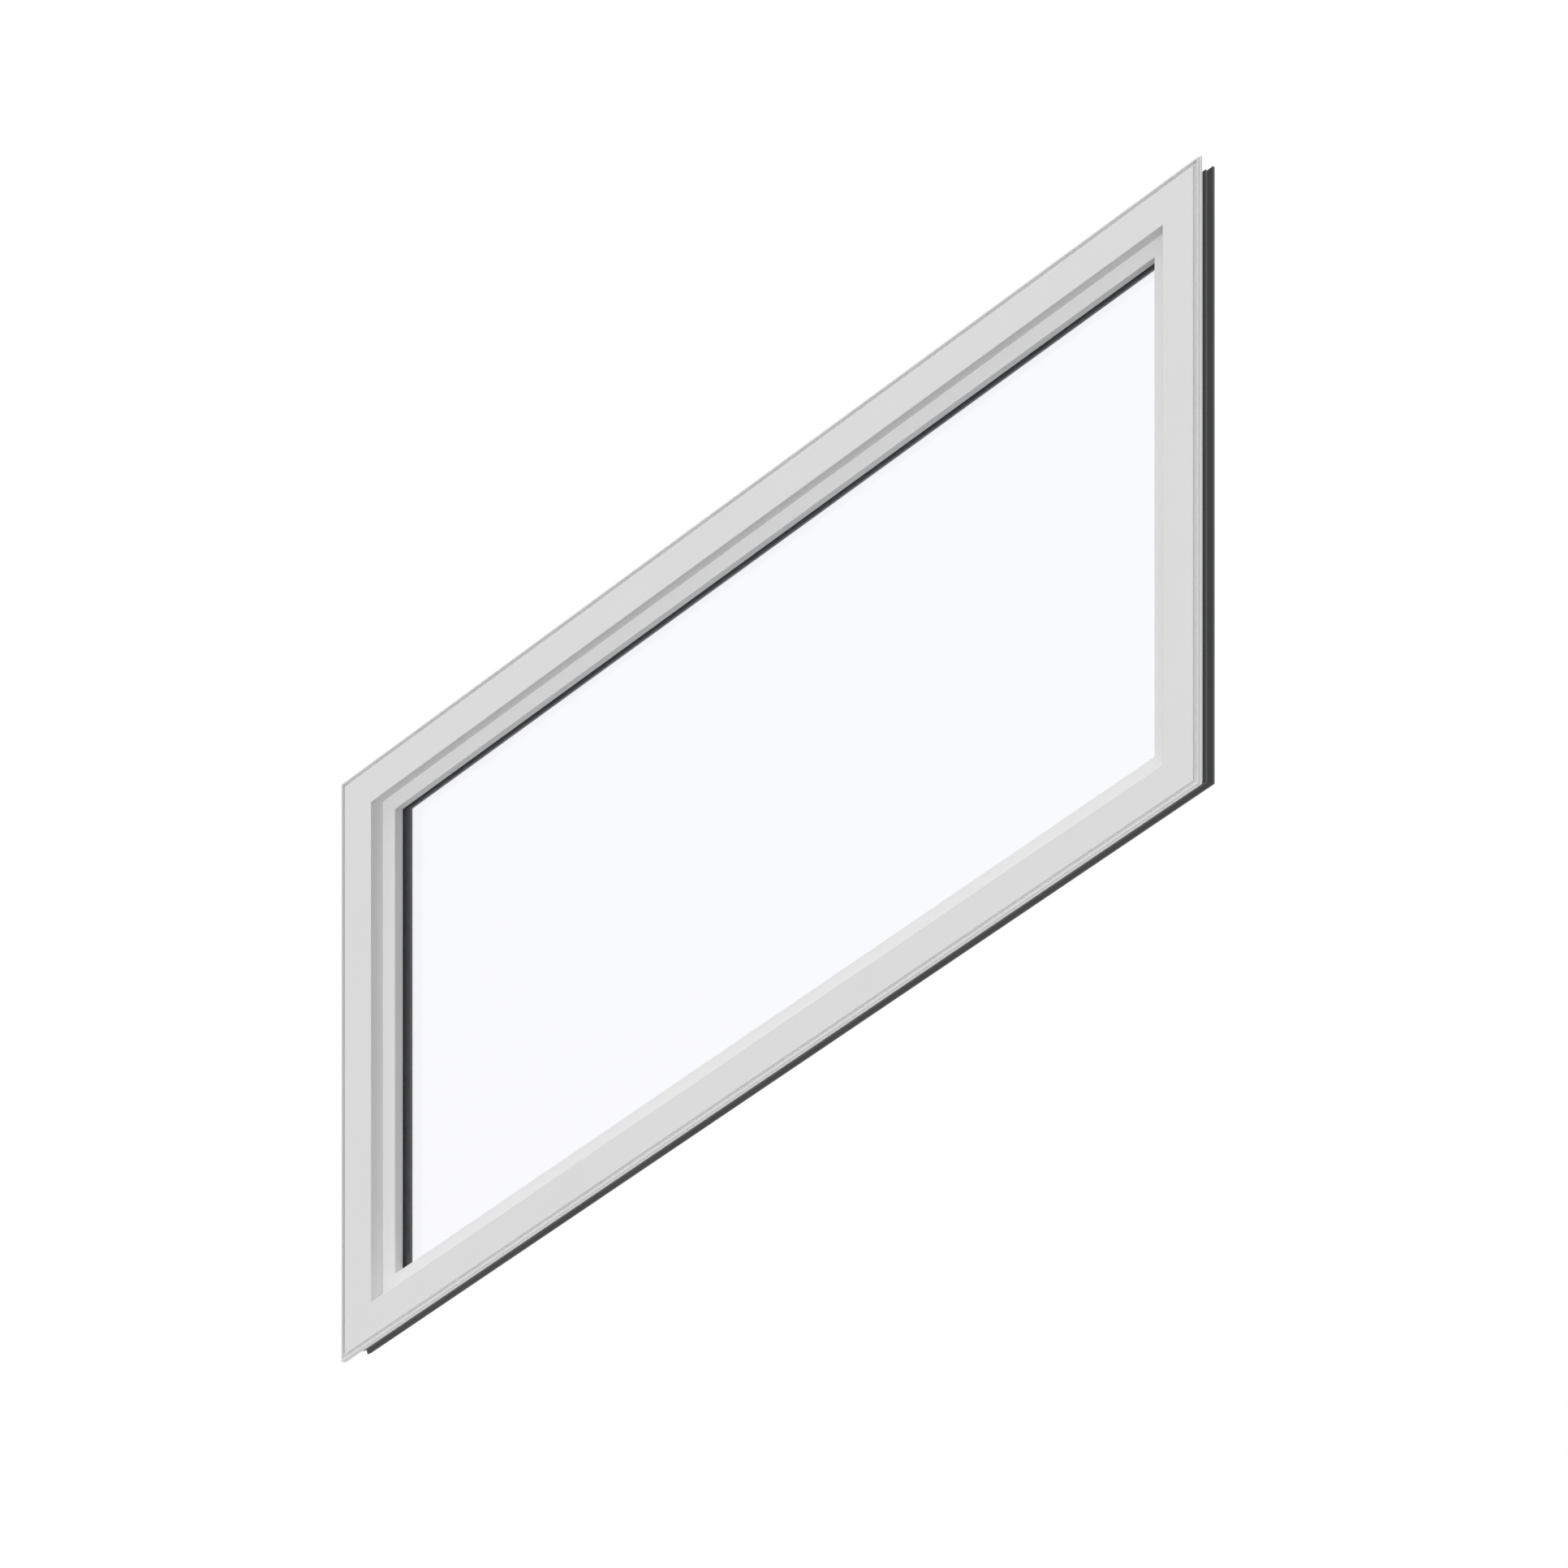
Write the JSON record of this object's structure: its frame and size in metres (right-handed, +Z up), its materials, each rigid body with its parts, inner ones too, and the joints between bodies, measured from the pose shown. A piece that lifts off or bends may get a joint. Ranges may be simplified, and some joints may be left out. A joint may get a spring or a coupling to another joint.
{
  "type": "parallelogram window",
  "caption": "Fixed window in the shape of a parallelogram, with a pale room-side frame, a dark outer frame and a sealed glass unit behind glazing beads.",
  "frame": {"origin": "middle of the left jamb's flat fixing face, the flat strip between its two flanges", "axes": "+X to the right as seen from the room, +Y from the room to the outside, +Z up"},
  "size_m": [1.2, 0.102, 1.6],
  "materials": {
    "white_plastic": "satin white extruded plastic",
    "dark_plastic": "fine-grained anthracite film",
    "gasket_rubber": "matt black",
    "spacer_bar": "matt dark warm-edge bar",
    "edge_sealant": "matt black sealant",
    "clear_glass": "clear",
    "block_plastic": "moulded"
  },
  "bodies": {
    "root": {"frame_left_jamb": "white_plastic", "frame_head": "white_plastic", "frame_right_jamb": "white_plastic", "frame_sill": "white_plastic", "outer_frame_left_jamb": "dark_plastic", "outer_frame_head": "dark_plastic", "outer_frame_right_jamb": "dark_plastic", "outer_frame_sill": "dark_plastic", "bead_left_jamb": "white_plastic", "bead_head": "white_plastic", "bead_right_jamb": "white_plastic", "bead_sill": "white_plastic", "inner_gasket_left_jamb": "gasket_rubber", "inner_gasket_head": "gasket_rubber", "inner_gasket_right_jamb": "gasket_rubber", "inner_gasket_sill": "gasket_rubber", "outer_gasket_left_jamb": "gasket_rubber", "outer_gasket_head": "gasket_rubber", "outer_gasket_right_jamb": "gasket_rubber", "outer_gasket_sill": "gasket_rubber", "spacer_left_jamb": "spacer_bar", "spacer_head": "spacer_bar", "spacer_right_jamb": "spacer_bar", "spacer_sill": "spacer_bar", "edge_seal_left_jamb": "edge_sealant", "edge_seal_head": "edge_sealant", "edge_seal_right_jamb": "edge_sealant", "edge_seal_sill": "edge_sealant", "inner_pane": "clear_glass", "outer_pane": "clear_glass", "setting_block_low": "block_plastic", "setting_block_high": "block_plastic", "side_block": "block_plastic"}
  },
  "joints": []
}
